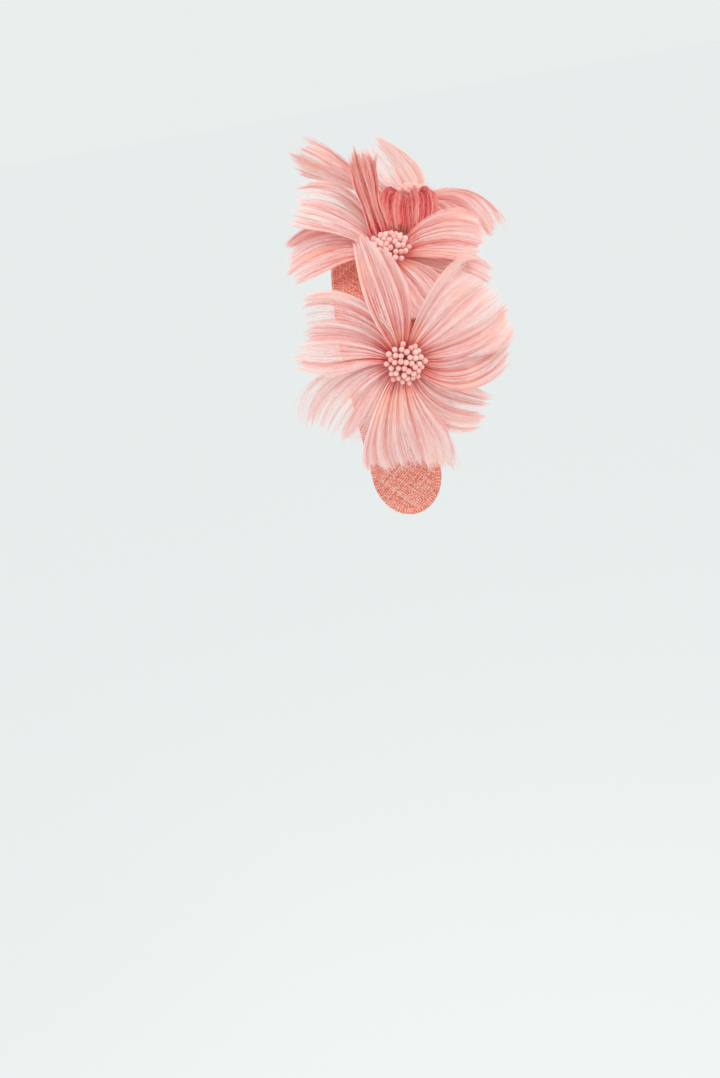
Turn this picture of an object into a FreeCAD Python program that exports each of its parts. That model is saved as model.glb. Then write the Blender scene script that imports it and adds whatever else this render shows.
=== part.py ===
import FreeCAD, Part
import math
import os
from FreeCAD import Matrix, Placement, Rotation, Vector

# Half-hat fascinator: a straw-covered band over the head from ear to ear, with three
# fibre-petalled flowers up the wearer's right side.
# Frame in millimetres: +X to the wearer's right, +Y to the front, +Z up.
# Origin: centre of the half circle that the band's lining makes round the head.

# ---- driving sizes: the band ----
head_radius = 75.0          # lining's inner face, side to side
head_front_curve = 120.0    # lining's inner face, front to back
tuck_angle = 6.0            # how far the arch runs on past a half circle, in degrees
leg_length = 78.0           # straight run from the arch to the tip of each end
crown_half_width = 31.0     # half the band's width over the crown
end_half_width = 20.5       # half the band's width where each end starts to round off
end_round = 26.0            # height of the rounded end

lining_thickness = 0.6
foundation_thickness = 2.0
cover_thickness = 1.0
binding_width = 3.2         # edge binding, measured in from the band's edge
wire_size = 1.3             # rim wire, square over its paper wrap
spring_width = 6.0          # flat steel spring under the lining
spring_thickness = 0.8
spring_clearance = 0.1      # all round the spring in its channel
spring_end_margin = 14.0    # from the spring's end to the band's tip

# ---- driving sizes: where the ends flex ----
flex_angle = 30.0           # place of each flex line on the arch, up from horizontal
flex_gap = 0.3              # slit between the layers at the flex line

# ---- driving sizes: the parts every flower shares ----
pad_radius = 11.0
pad_thickness = 1.2
stem_radius = 2.0           # of the stem's ball foot
stem_waist = 1.8            # radius of the bound stem above its foot
moving_clearance = 0.4      # between a flower's own pieces and its pad or stitches
stem_length = 2.6           # from the stem's ball foot to the calyx
calyx_height = 2.4
dome_radius = 3.9           # thread binding that the stamens stand in
root_radius = 4.4           # where petals leave the binding
root_step = 0.7             # upper and lower rows of petals, above and below the base plane
binding_drop = 1.4          # flat foot of the thread binding, below the base plane
root_width = 3.8
petal_thickness = 0.7
petal_cup = 0.10            # hollow across a petal, as a share of its width
stitch_radius = 0.35
stitch_ring_radius = 4.2
stitch_clearance = 0.05     # between a stitch and the felt

stamen_count = 40
stamen_spread = 52.0        # half angle of the stamen cluster, in degrees
stamen_thread_radius = 0.25
stamen_start = 4.0          # from the centre of the dome to the thread's foot
stamen_length = 16.0        # from the centre of the dome to the tip of the head
head_length = 5.2
head_width = 2.9
head_taper = 0.9            # width of the head's cone at the centre of its ball, share of the ball

# Petal width: place along the petal, and how far the width has opened there from the
# root's width to the full width.
petal_opening = ((0.0, 0.0), (0.22, 0.42), (0.48, 0.82), (0.78, 1.0), (1.0, 0.8))

# Each flower: place on the arch in degrees, distance to the front of the centre line,
# which way its axis points (degrees on the arch, then degrees towards the front).
# Each petal: turn round the flower's axis in degrees from the arch's upward direction,
# reach, height of the elbow and of the tip above the base plane, elbow's share of the
# reach, sideways swing of the elbow, twist at the tip in degrees, width, and the row it
# springs from (1 upper, -1 lower).
flowers = {
    "low": {
        "place": 8.6, "forward": 8.5, "aim": 2.0, "lean": 16.0,
        "petals": {
            "up": (-13, 70, 20, 7, 0.5, 6, 0, 32, 1),
            "front_up": (60, 65, 16, 9, 0.5, -4, 0, 48, -1),
            "front": (95, 58, 19, 15, 0.5, 7, 10, 24, 1),
            "front_down": (128, 58, 8, 4, 0.5, 4, 0, 30, -1),
            "down": (-174, 62, 14, -2, 0.5, -3, 0, 46, 1),
            "back_down": (-121, 61, 9, -8, 0.5, -5, 0, 38, -1),
            "back": (-68, 58, 14, -6, 0.5, 6, 0, 34, 1),
        },
    },
    "mid": {
        "place": 50.0, "forward": 6.5, "aim": 50.0, "lean": 11.6,
        "petals": {
            "back": (-96, 56, 9, -5, 0.5, 5, 0, 34, -1),
            "back_up": (-64, 61, 13, 8, 0.5, 3, 0, 34, 1),
            "up": (-8, 46, 9, 37, 0.6, -3, 0, 19, -1),
            "front_up": (84, 52, 15, 12, 0.5, 0, 0, 36, 1),
            "front": (99, 57, 9, 5, 0.5, 0, 0, 22, -1),
            "front_down": (154, 44, 3, -4.5, 0.5, 0, 0, 30, -1),
        },
    },
    "top": {
        "place": 90.0, "forward": 16.5, "aim": 87.0, "lean": 8.6,
        "petals": {
            "back": (-101, 66, 14, 36, 0.5, 2, 35, 30, 1),
            "back_right": (-122, 50, 8, 20, 0.5, 1, 10, 25, -1),
            "left_back": (-43, 40, 4, 36, 0.75, 0, 0, 32, -1),
            "right": (179, 34, 14, -5, 0.6, 0, 0, 27, 1),
            "front": (106, 54, 14, -7, 0.5, 3, -25, 34, -1),
            "left": (24, 54, 12, -10, 0.5, 0, 0, 40, 1),
        },
    },
}

across = Vector(0, 1, 0)
outward = Vector(0, 0, 1)   # a flower's axis in its own frame
stack = lining_thickness + foundation_thickness + cover_thickness
tip_height = -(head_radius * math.sin(math.radians(tuck_angle))
               + leg_length * math.cos(math.radians(tuck_angle)))
cut_margin = 12.0           # how far cutting shapes reach past what they cut
half_gap_angle = math.degrees(flex_gap / 2 / head_radius)


def export(node, shape):
    shape.exportStep("parts/" + node + ".step")


# ---- the band ----

def section(inner, outer):
    """Front-to-back cross-section between two offsets from the head, on the +X side."""
    half = crown_half_width + cut_margin
    centre_x = head_radius - head_front_curve

    def edge(offset):
        radius = head_front_curve + offset
        x = centre_x + math.sqrt(radius ** 2 - half ** 2)
        return Vector(x, -half, 0), Vector(centre_x + radius, 0, 0), Vector(x, half, 0)

    inner_back, inner_middle, inner_front = edge(inner)
    outer_back, outer_middle, outer_front = edge(outer)
    wire = Part.Wire([
        Part.Arc(inner_back, inner_middle, inner_front).toShape(),
        Part.LineSegment(inner_front, outer_front).toShape(),
        Part.Arc(outer_front, outer_middle, outer_back).toShape(),
        Part.LineSegment(outer_back, inner_back).toShape(),
    ])
    return Part.Face(wire)


def arch(inner, outer, start, end):
    face = section(inner, outer)
    face.rotate(Vector(0, 0, 0), across, -start)
    return face.revolve(Vector(0, 0, 0), -across, end - start)


def leg(inner, outer):
    face = section(inner, outer)
    face.rotate(Vector(0, 0, 0), across, tuck_angle)
    tuck = math.radians(tuck_angle)
    run = leg_length + cut_margin
    return face.extrude(Vector(-math.sin(tuck), 0, -math.cos(tuck)) * run)


def right_layer(inner, outer):
    curved = arch(inner, outer, -tuck_angle, flex_angle - half_gap_angle)
    return curved.fuse(leg(inner, outer)).removeSplitter()


def crown_layer(inner, outer):
    start = flex_angle + half_gap_angle
    return arch(inner, outer, start, 180.0 - start)


def outline(inset):
    """Side view of the band, rounded at the lower end, extruded across the head."""
    end_half = end_half_width - inset
    crown_half = crown_half_width - inset
    round_height = end_round - inset
    bottom = tip_height + inset
    spring_line = bottom + round_height
    top = head_radius + stack + cut_margin
    reach = head_radius + stack + cut_margin
    if round_height >= end_half:
        ellipse = Part.Ellipse(Vector(0, 0, bottom), Vector(0, end_half, spring_line),
                               Vector(0, 0, spring_line))
    else:
        ellipse = Part.Ellipse(Vector(0, end_half, spring_line), Vector(0, 0, bottom),
                               Vector(0, 0, spring_line))
    round_end = ellipse.toShape().common(
        Part.makeBox(2, 4 * end_half, round_height * 2,
                     Vector(-1, -2 * end_half, spring_line - 2 * round_height)))
    edges = list(round_end.Edges)
    back_foot = Vector(0, -end_half, spring_line)
    front_foot = Vector(0, end_half, spring_line)
    back_top = Vector(0, -crown_half, top)
    front_top = Vector(0, crown_half, top)
    edges.append(Part.LineSegment(back_foot, back_top).toShape())
    edges.append(Part.LineSegment(back_top, front_top).toShape())
    edges.append(Part.LineSegment(front_top, front_foot).toShape())
    face = Part.Face(Part.Wire(Part.__sortEdges__(edges)))
    face.translate(Vector(-reach, 0, 0))
    return face.extrude(Vector(2 * reach, 0, 0))


def mirrored(shape):
    return shape.mirror(Vector(0, 0, 0), Vector(1, 0, 0))


def spring_slab(half_width, end_margin):
    bottom = tip_height + end_margin
    reach = head_radius + stack + cut_margin
    return Part.makeBox(2 * reach, 2 * half_width, reach - bottom,
                        Vector(-reach, -half_width, bottom))


def band_nodes():
    full = outline(0.0)
    body = outline(binding_width)
    wire_outside = outline(binding_width - wire_size)
    ring = full.cut(body)
    wire_ring = wire_outside.cut(body)
    wire_low = (stack - wire_size) / 2
    foundation_low = lining_thickness
    foundation_high = lining_thickness + foundation_thickness
    spring_high = foundation_low + spring_thickness
    spring = spring_slab(spring_width / 2, spring_end_margin)
    channel = spring_slab(spring_width / 2 + spring_clearance, spring_end_margin - spring_clearance)

    for side, layer in (("right", right_layer), ("crown", crown_layer)):
        nodes = {}
        nodes["lining"] = layer(0.0, lining_thickness).common(body)
        channel_shell = layer(foundation_low, spring_high + spring_clearance).common(channel)
        nodes["foundation"] = layer(foundation_low, foundation_high).common(body).cut(channel_shell)
        nodes["spring"] = layer(foundation_low, spring_high).common(spring)
        nodes["straw_cover"] = layer(foundation_high, stack).common(body)
        wire = layer(wire_low, wire_low + wire_size).common(wire_ring)
        nodes["rim_wire"] = wire
        nodes["edge_binding"] = layer(0.0, stack).common(ring).cut(wire)
        for name, shape in nodes.items():
            export(side + "_" + name, shape)
            if side == "right":
                export("left_" + name, mirrored(shape))


# ---- the flowers ----

def direction(place, lean):
    """Outward direction at an angle on the arch, leaning to the front."""
    turn = math.radians(place)
    forward = math.radians(lean)
    return Vector(math.cos(turn) * math.cos(forward), math.sin(forward),
                  math.sin(turn) * math.cos(forward))


def surface_point(place, forward, height):
    """A point over the band's straw face, and the outward direction there."""
    radius = head_front_curve + stack
    centre = head_radius - head_front_curve
    normal = direction(place, math.degrees(math.asin(forward / radius)))
    turn = math.radians(place)
    foot = Vector(math.cos(turn), 0, math.sin(turn)) * centre
    return foot + normal * (radius + height), normal


def flower_frame(spec):
    """Placement whose Z is the flower's axis, X the arch's upward way and Y its back."""
    axis = direction(spec["aim"], spec["lean"])
    front = across - axis * axis.dot(across)
    front.normalize()
    up = axis.cross(front)
    back = front * -1
    foot_height = pad_thickness + moving_clearance + stem_radius
    foot = surface_point(spec["place"], spec["forward"], foot_height)[0]
    base = foot + axis * (stem_length + calyx_height)
    matrix = Matrix(up.x, back.x, axis.x, base.x,
                    up.y, back.y, axis.y, base.y,
                    up.z, back.z, axis.z, base.z,
                    0, 0, 0, 1)
    return Placement(matrix)


def pad(spec):
    """Felt disc that follows the straw face under the flower."""
    centre, normal = surface_point(spec["place"], spec["forward"], 0)
    depth = pad_thickness + cut_margin
    cutter = Part.makeCylinder(pad_radius, 2 * depth, centre - normal * depth, normal)
    reach = math.degrees((pad_radius + cut_margin) / head_radius)
    skin = arch(stack, stack + pad_thickness, spec["place"] - reach, spec["place"] + reach)
    return skin.common(cutter)


def stitches(spec):
    """Ring of whip stitches round the stem's foot, lying on the felt."""
    height = pad_thickness + stitch_radius + stitch_clearance
    centre, normal = surface_point(spec["place"], spec["forward"], height)
    return Part.makeTorus(stitch_ring_radius, stitch_radius, centre, normal)


def stem():
    """Bound stem with a ball foot, in the flower's frame."""
    foot = Vector(0, 0, -calyx_height - stem_length)
    ball = Part.makeSphere(stem_radius, foot)
    rod = Part.makeCylinder(stem_waist, stem_length, foot, outward)
    return ball.fuse(rod).removeSplitter()


def calyx():
    """Bound neck that spreads from the stem to the thread binding."""
    return Part.makeCone(stem_waist, dome_radius, calyx_height - binding_drop,
                         outward * -calyx_height, outward)


def binding():
    """Dome of thread over the calyx that the stamens' threads stand in."""
    return Part.makeSphere(dome_radius, outward * -binding_drop, outward, 0, 90, 360)


def stamen():
    """One starched stamen along +Z, measured from the dome's centre."""
    ball_radius = head_width / 2
    ball_centre = stamen_length - ball_radius
    neck = stamen_length - head_length
    thread = Part.makeCylinder(stamen_thread_radius, neck - stamen_start,
                               outward * stamen_start, outward)
    cone = Part.makeCone(stamen_thread_radius, ball_radius * head_taper, ball_centre - neck,
                         outward * neck, outward)
    ball = Part.makeSphere(ball_radius, outward * ball_centre)
    return thread.fuse([cone, ball]).removeSplitter()


def stamens():
    """The cluster: equal stamens spread evenly over a cap by the golden angle."""
    one = stamen()
    golden = math.degrees(math.pi * (3 - math.sqrt(5)))
    cap = 1 - math.cos(math.radians(stamen_spread))
    cluster = []
    for index in range(stamen_count):
        tilt = math.degrees(math.acos(1 - cap * (index + 0.5) / stamen_count))
        piece = one.copy()
        turn = Rotation(outward, golden * index).multiply(Rotation(across, tilt))
        piece.Placement = Placement(outward * -binding_drop, turn)
        cluster.append(piece)
    return Part.makeCompound(cluster)


def petal_section(point, along, side, width, thickness):
    """Thin hollow cross-section of a petal, square to its spine."""
    sideways = side - along * side.dot(along)
    sideways.normalize()
    face = along.cross(sideways)
    half = width / 2
    low = face * (-thickness / 2)
    high = face * (thickness / 2)
    edge_lift = face * (petal_cup * width)
    left = point - sideways * half + edge_lift
    right = point + sideways * half + edge_lift
    return Part.Wire([
        Part.Arc(left + low, point + low, right + low).toShape(),
        Part.LineSegment(right + low, right + high).toShape(),
        Part.Arc(right + high, point + high, left + high).toShape(),
        Part.LineSegment(left + high, left + low).toShape(),
    ])


def petal(turn, reach, elbow_height, tip_rise, elbow_share, swing, twist, width, row):
    """One petal in the flower's frame, along a curve from root to elbow to tip."""
    root = Vector(root_radius, 0, row * root_step)
    elbow = Vector(reach * elbow_share, -swing, elbow_height)
    tip = Vector(reach, 0, tip_rise)
    sections = []
    for share, opening in petal_opening:
        station_width = root_width + (width - root_width) * opening
        rest = 1 - share
        point = root * rest ** 2 + elbow * (2 * rest * share) + tip * share ** 2
        along = (elbow - root) * rest + (tip - elbow) * share
        along.normalize()
        side = Rotation(along, twist * share).multVec(across)
        sections.append(petal_section(point, along, side, station_width, petal_thickness))
    shape = Part.makeLoft(sections, True, False)
    shape.rotate(Vector(0, 0, 0), outward, -turn)
    return shape


def placed(shape, frame):
    moved = shape.copy()
    moved.Placement = frame.multiply(moved.Placement)
    return moved


def flower_nodes():
    cluster = stamens()
    for name, spec in flowers.items():
        frame = flower_frame(spec)
        export(name + "_pad", pad(spec))
        export(name + "_stitches", stitches(spec))
        export(name + "_stem", placed(stem(), frame))
        export(name + "_calyx", placed(calyx(), frame))
        export(name + "_binding", placed(binding(), frame))
        export(name + "_stamens", placed(cluster, frame))
        for petal_name, values in spec["petals"].items():
            export(name + "_petal_" + petal_name, placed(petal(*values), frame))


os.makedirs("parts", exist_ok=True)
band_nodes()
flower_nodes()
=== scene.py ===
import math
import random

import bpy
import numpy as np
from mathutils import Matrix, Vector


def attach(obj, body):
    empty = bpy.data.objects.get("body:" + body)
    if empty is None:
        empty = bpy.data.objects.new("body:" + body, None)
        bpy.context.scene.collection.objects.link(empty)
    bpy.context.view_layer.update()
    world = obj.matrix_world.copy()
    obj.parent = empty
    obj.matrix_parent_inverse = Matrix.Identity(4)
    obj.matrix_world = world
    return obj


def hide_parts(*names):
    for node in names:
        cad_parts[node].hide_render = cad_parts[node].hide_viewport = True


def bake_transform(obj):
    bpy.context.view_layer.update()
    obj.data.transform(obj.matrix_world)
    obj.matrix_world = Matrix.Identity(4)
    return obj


# Fascinator headpiece: a straw band from ear to ear with three fibre-petalled flowers.
# Metres; +X to the wearer's right, +Y front, +Z up, origin at the centre of the head's arch.

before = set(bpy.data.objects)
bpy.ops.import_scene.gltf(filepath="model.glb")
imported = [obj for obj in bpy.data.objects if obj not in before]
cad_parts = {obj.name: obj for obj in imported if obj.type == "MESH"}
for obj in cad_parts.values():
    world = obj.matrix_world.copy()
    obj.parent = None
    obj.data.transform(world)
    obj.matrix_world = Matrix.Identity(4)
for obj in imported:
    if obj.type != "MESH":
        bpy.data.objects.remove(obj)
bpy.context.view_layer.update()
bpy.ops.object.select_all(action="DESELECT")
print("frame loaded:", len(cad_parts), "nodes")

mm = 0.001
wholeWave = 6.28      # a wave's start is drawn from 0 to this
tiny = 1e-12          # keeps a division away from nought


# camera, floor and light

cameraSet = {
    "place": (0.7097, 0.0895, 0.1574),
    "look": (-0.9141, -0.1774, -0.3647),
    "up": (-0.3858, 0.1026, 0.9169),
    "lens": 37.94,          # on a 36 mm high film, upright format
    "film": 36.0,
    "clip": (0.01, 100),
}

studio = {
    "floorHeight": -1.20,
    "floorSize": 400.0,
    "floorColour": (252, 253, 253),
    "floorRoughness": 0.9,
    "floorShine": 0.1,
    "worldColour": (238, 243, 242),
    "worldStrength": 0.96,
    # name, place, aimed at, size, watts, colour
    "lights": [
        ("keyLight", (0.42, 0.48, 0.62), (0.06, 0, 0.03), 0.34, 2.2, (255, 248, 242)),
        ("fillLight", (0.72, -0.52, 0.10), (0.06, 0, 0.03), 0.5, 1.2, (250, 250, 255)),
        ("backLight", (-0.45, -0.2, 0.62), (0.0, 0, 0.05), 0.4, 1.2, (255, 255, 255)),
    ],
}


def linear(colour):
    # 0-255 screen values to the shader's linear values
    out = []
    for value in colour[:3]:
        share = value / 255
        dark = share <= 0.04045
        out.append(share / 12.92 if dark else ((share + 0.055) / 1.055) ** 2.4)
    return (*out, 1.0)


def makeCamera(spec):
    bpy.ops.object.camera_add(location=spec["place"])
    camera = bpy.context.object
    camera.name = "studioCamera"
    back = -Vector(spec["look"]).normalized()
    right = Vector(spec["up"]).cross(back).normalized()
    up = back.cross(right)
    turn = Matrix((right, up, back)).transposed().to_4x4()
    camera.matrix_world = Matrix.Translation(spec["place"]) @ turn
    camera.data.sensor_fit = "VERTICAL"
    camera.data.sensor_height = spec["film"]
    camera.data.lens = spec["lens"]
    camera.data.clip_start, camera.data.clip_end = spec["clip"]
    bpy.context.scene.camera = camera


def makeStudio(spec):
    bpy.ops.mesh.primitive_plane_add(size=spec["floorSize"],
                                     location=(0, 0, spec["floorHeight"]))
    floor = bpy.context.object
    floor.name = "studioFloor"
    material = bpy.data.materials.new("paperFloor")
    material.use_nodes = True
    shader = material.node_tree.nodes["Principled BSDF"]
    shader.inputs["Base Color"].default_value = linear(spec["floorColour"])
    shader.inputs["Roughness"].default_value = spec["floorRoughness"]
    shader.inputs["Specular IOR Level"].default_value = spec["floorShine"]
    floor.data.materials.append(material)
    for name, place, aim, size, power, colour in spec["lights"]:
        bpy.ops.object.light_add(type="AREA", location=place)
        light = bpy.context.object
        light.name = name
        light.data.size = size
        light.data.energy = power
        light.data.color = linear(colour)[:3]
        aimed = (Vector(aim) - Vector(place)).to_track_quat("-Z", "Y")
        light.rotation_euler = aimed.to_euler()
    world = bpy.data.worlds.new("studioWorld")
    world.use_nodes = True
    sky = world.node_tree.nodes["Background"]
    sky.inputs["Color"].default_value = linear(spec["worldColour"])
    sky.inputs["Strength"].default_value = spec["worldStrength"]
    bpy.context.scene.world = world
    bpy.context.scene.view_settings.view_transform = "Standard"


makeCamera(cameraSet)
makeStudio(studio)
print("camera and studio ready")


# shader groups and material helpers

def newGroup(name, inputs, outputs):
    group = bpy.data.node_groups.new(name, "ShaderNodeTree")
    for label, kind, value in inputs:
        socket = group.interface.new_socket(name=label, in_out="INPUT", socket_type=kind)
        if value is not None:
            socket.default_value = value
    for label, kind in outputs:
        group.interface.new_socket(name=label, in_out="OUTPUT", socket_type=kind)
    source = group.nodes.new("NodeGroupInput")
    result = group.nodes.new("NodeGroupOutput")
    return group, source, result


class Wiring:
    # short hand for adding and joining nodes in one tree

    def __init__(self, tree):
        self.tree = tree

    def node(self, kind, **settings):
        made = self.tree.nodes.new(kind)
        for key, value in settings.items():
            setattr(made, key, value)
        return made

    def join(self, start, end):
        self.tree.links.new(start, end)

    def put(self, socket, value):
        if isinstance(value, bpy.types.NodeSocket):
            self.join(value, socket)
        else:
            socket.default_value = value

    def maths(self, operation, first, second=0.0, clamp=False):
        made = self.node("ShaderNodeMath", operation=operation, use_clamp=clamp)
        self.put(made.inputs[0], first)
        self.put(made.inputs[1], second)
        return made.outputs[0]

    def around(self, value, share):
        # swings either side of nought
        return self.maths("MULTIPLY", self.maths("SUBTRACT", value, 0.5), share)

    def remap(self, value, low, high, newLow=0.0, newHigh=1.0):
        made = self.node("ShaderNodeMapRange", interpolation_type="SMOOTHSTEP")
        self.put(made.inputs["Value"], value)
        self.put(made.inputs["From Min"], low)
        self.put(made.inputs["From Max"], high)
        self.put(made.inputs["To Min"], newLow)
        self.put(made.inputs["To Max"], newHigh)
        return made.outputs["Result"]

    def stretched(self, vector, scale):
        made = self.node("ShaderNodeMapping")
        self.put(made.inputs["Vector"], vector)
        made.inputs["Scale"].default_value = scale
        return made.outputs["Vector"]

    def noise(self, vector, scale, detail=3.0, roughness=0.55):
        made = self.node("ShaderNodeTexNoise")
        self.put(made.inputs["Vector"], vector)
        self.put(made.inputs["Scale"], scale)
        made.inputs["Detail"].default_value = detail
        made.inputs["Roughness"].default_value = roughness
        return made.outputs["Fac"]

    def ramp(self, value, stops):
        made = self.node("ShaderNodeValToRGB")
        self.put(made.inputs["Fac"], value)
        ramp = made.color_ramp
        while len(ramp.elements) > 1:
            ramp.elements.remove(ramp.elements[-1])
        ramp.elements[0].position = stops[0][0]
        ramp.elements[0].color = linear(stops[0][1])
        for place, colour in stops[1:]:
            ramp.elements.new(place).color = linear(colour)
        return made.outputs["Color"]

    def blend(self, share, first, second, mode="MIX"):
        made = self.node("ShaderNodeMix", data_type="RGBA", blend_type=mode)
        self.put(made.inputs[0], share)
        for socket, value in ((made.inputs[6], first), (made.inputs[7], second)):
            self.put(socket, linear(value) if isinstance(value, tuple) else value)
        return made.outputs[2]

    def group(self, group, **values):
        made = self.node("ShaderNodeGroup", node_tree=group)
        for key, value in values.items():
            self.put(made.inputs[key], value)
        return made.outputs

    def attribute(self, name):
        return self.node("ShaderNodeAttribute", attribute_name=name).outputs["Fac"]

    def bump(self, height, strength, distance):
        made = self.node("ShaderNodeBump")
        made.inputs["Strength"].default_value = strength
        made.inputs["Distance"].default_value = distance
        self.put(made.inputs["Height"], height)
        return made.outputs["Normal"]

    def objectPlace(self):
        return self.node("ShaderNodeTexCoord").outputs["Object"]

    def uvPlace(self):
        return self.node("ShaderNodeUVMap", uv_map="UVMap").outputs["UV"]


def newMaterial(name, roughness=0.6, **constants):
    material = bpy.data.materials.new(name)
    material.use_nodes = True
    shader = material.node_tree.nodes["Principled BSDF"]
    shader.inputs["Roughness"].default_value = roughness
    for key, value in constants.items():
        shader.inputs[key.replace("_", " ")].default_value = value
    return material, Wiring(material.node_tree), shader.inputs


fibreGrain = {
    # stretch over and along the fibres, detail, roughness
    "fine": ((2.6, 0.035, 1), 2.0, 0.6),
    "broad": ((0.55, 0.018, 1), 2.0, 0.55),
    "hair": ((5.5, 0.06, 1), 1.0, 0.55),
}


def fibreStreakGroup():
    # fine lines along V, of uneven width, on a UV map in millimetres
    group, source, result = newGroup(
        "fibreStreaks",
        [("Place", "NodeSocketVector", None), ("Fineness", "NodeSocketFloat", 1.0)],
        [("Streak", "NodeSocketFloat"), ("Locks", "NodeSocketFloat"),
         ("Height", "NodeSocketFloat")])
    w = Wiring(group)
    place, fineness = source.outputs["Place"], source.outputs["Fineness"]
    fine, broad, hair = [w.noise(w.stretched(place, stretch), fineness, detail, roughness)
                         for stretch, detail, roughness in fibreGrain.values()]
    w.join(w.remap(fine, 0.32, 0.68), result.inputs["Streak"])
    w.join(w.remap(broad, 0.3, 0.7), result.inputs["Locks"])
    w.join(w.maths("ADD", w.maths("MULTIPLY", fine, 0.6), w.maths("MULTIPLY", hair, 0.4)),
           result.inputs["Height"])
    return group


def driftGroup():
    # slow and fine changes of shade over a dyed surface
    group, source, result = newGroup(
        "dyeDrift",
        [("Place", "NodeSocketVector", None), ("Patch", "NodeSocketFloat", 60.0),
         ("Speck", "NodeSocketFloat", 900.0)],
        [("Patches", "NodeSocketFloat"), ("Specks", "NodeSocketFloat")])
    w = Wiring(group)
    w.join(w.noise(source.outputs["Place"], source.outputs["Patch"], 2.0), result.inputs["Patches"])
    w.join(w.noise(source.outputs["Place"], source.outputs["Speck"], 3.0), result.inputs["Specks"])
    return group


def weaveGroup():
    # plain over-and-under weave on a UV map in millimetres
    group, source, result = newGroup(
        "plainWeave",
        [("Place", "NodeSocketVector", None), ("Threads", "NodeSocketFloat", 2.0)],
        [("Height", "NodeSocketFloat"), ("Gaps", "NodeSocketFloat")])
    w = Wiring(group)
    parts = w.node("ShaderNodeSeparateXYZ")
    w.join(source.outputs["Place"], parts.inputs[0])
    waves = []
    for axis in ("X", "Y"):
        threads = w.maths("MULTIPLY", parts.outputs[axis], source.outputs["Threads"])
        waves.append(w.maths("SINE", w.maths("MULTIPLY", threads, math.pi)))
    rise = w.maths("ABSOLUTE", w.maths("MULTIPLY", waves[0], waves[1]))
    w.join(rise, result.inputs["Height"])
    # Gaps is where the weave is painted darker between its threads: painted shade
    w.join(w.remap(rise, 0.0, 0.16, 1.0, 0.0), result.inputs["Gaps"])
    return group


fibreStreaks = fibreStreakGroup()
dyeDrift = driftGroup()
plainWeave = weaveGroup()


# materials

petalDye = {
    "stops": [(0.0, (241, 216, 213)), (0.25, (237, 190, 184)), (0.5, (231, 156, 149)),
              (0.72, (225, 116, 110)), (0.88, (215, 80, 79)), (1.0, (190, 42, 54))],
    "streakShare": 0.36,
    "lockShare": 0.18,
    "glow": 0.12,
    "warm": (250, 196, 168),      # peach drift in the dye
    "warmShare": 0.36,
    "patch": 55.0,
    "speck": 1600.0,
    "rough": (0.42, 0.62),        # between the streaks and on them
    "bump": (0.55, 0.0004),
    "streakGaps": 0.6,
    "lockGaps": 0.4,
    "gapShare": 0.8,
    "coverEdge": (0.55, 1.15),    # all open below, all closed above
}


def petalMaterial(name, sheer):
    material, w, shader = newMaterial(name, 0.5, Specular_IOR_Level=0.35, Sheen_Weight=0.25,
                                      Sheen_Roughness=0.45)
    streaks = w.group(fibreStreaks, Place=w.uvPlace())
    tone = w.attribute("tone")
    fine = w.around(streaks["Streak"], petalDye["streakShare"])
    locks = w.around(streaks["Locks"], petalDye["lockShare"])
    shade = w.maths("ADD", w.maths("ADD", tone, fine), locks, clamp=True)
    drift = w.group(dyeDrift, Place=w.objectPlace(), Patch=petalDye["patch"],
                    Speck=petalDye["speck"])
    warm = w.remap(drift["Patches"], 0.48, 0.72, 0.0, petalDye["warmShare"])
    colour = w.blend(warm, w.ramp(shade, petalDye["stops"]), petalDye["warm"])
    w.join(colour, shader["Base Color"])
    w.join(colour, shader["Emission Color"])     # painted glow: the fibre gives out its own colour as light, standing in for light that comes through it
    shader["Emission Strength"].default_value = petalDye["glow"]
    w.join(w.remap(streaks["Streak"], 0.0, 1.0, *petalDye["rough"]), shader["Roughness"])
    w.join(w.bump(streaks["Height"], *petalDye["bump"]), shader["Normal"])
    if sheer:
        # full cover hides everything, a thin one shows through between its fibres
        cover = w.attribute("cover")
        gaps = w.maths("ADD", w.maths("MULTIPLY", streaks["Streak"], petalDye["streakGaps"]),
                       w.maths("MULTIPLY", streaks["Locks"], petalDye["lockGaps"]))
        closed = w.maths("ADD", cover, w.maths("MULTIPLY", gaps, petalDye["gapShare"]))
        w.join(w.remap(closed, *petalDye["coverEdge"]), shader["Alpha"])
    return material


petalCloth = petalMaterial("petalCloth", True)
petalFibre = petalMaterial("petalFibre", False)


strawDye = {
    # shaded, middle and lit colour (painted shade and painted light), colour of the painted glint,
    # roughness
    "strawStrand": ((230, 102, 86), (254, 164, 142), (255, 208, 190), (255, 230, 216), 0.42),
    # the backing's deep red is partly its own dye and partly painted shade for the dark holes between
    # the strands
    "strawBacking": ((164, 42, 36), (196, 62, 50), (218, 92, 74), (226, 110, 94), 0.7),
}


def strawMaterial(name, low, middle, high, glintColour, roughness):
    material, w, shader = newMaterial(name, roughness, Specular_IOR_Level=0.5, Sheen_Weight=0.1)
    place = w.objectPlace()
    drift = w.group(dyeDrift, Place=place, Patch=90.0, Speck=1400.0)
    tone = w.maths("ADD", w.attribute("tone"), w.around(drift["Specks"], 0.7))
    # the straw is painted from a shaded to a lit colour by its tone: painted shade and painted light
    base = w.ramp(tone, [(0.1, low), (0.5, middle), (0.9, high)])
    # shiny flecks painted near white: a painted glint, beside their lower roughness
    glintFlecks = w.remap(w.noise(place, 900.0, 1.0), 0.64, 0.74)
    w.join(w.blend(glintFlecks, base, glintColour), shader["Base Color"])
    w.join(w.remap(glintFlecks, 0.0, 1.0, roughness, 0.25), shader["Roughness"])
    w.join(w.bump(drift["Specks"], 0.4, 0.0002), shader["Normal"])
    return material


strawStrand, strawBacking = [strawMaterial(name, *dye) for name, dye in strawDye.items()]


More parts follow.
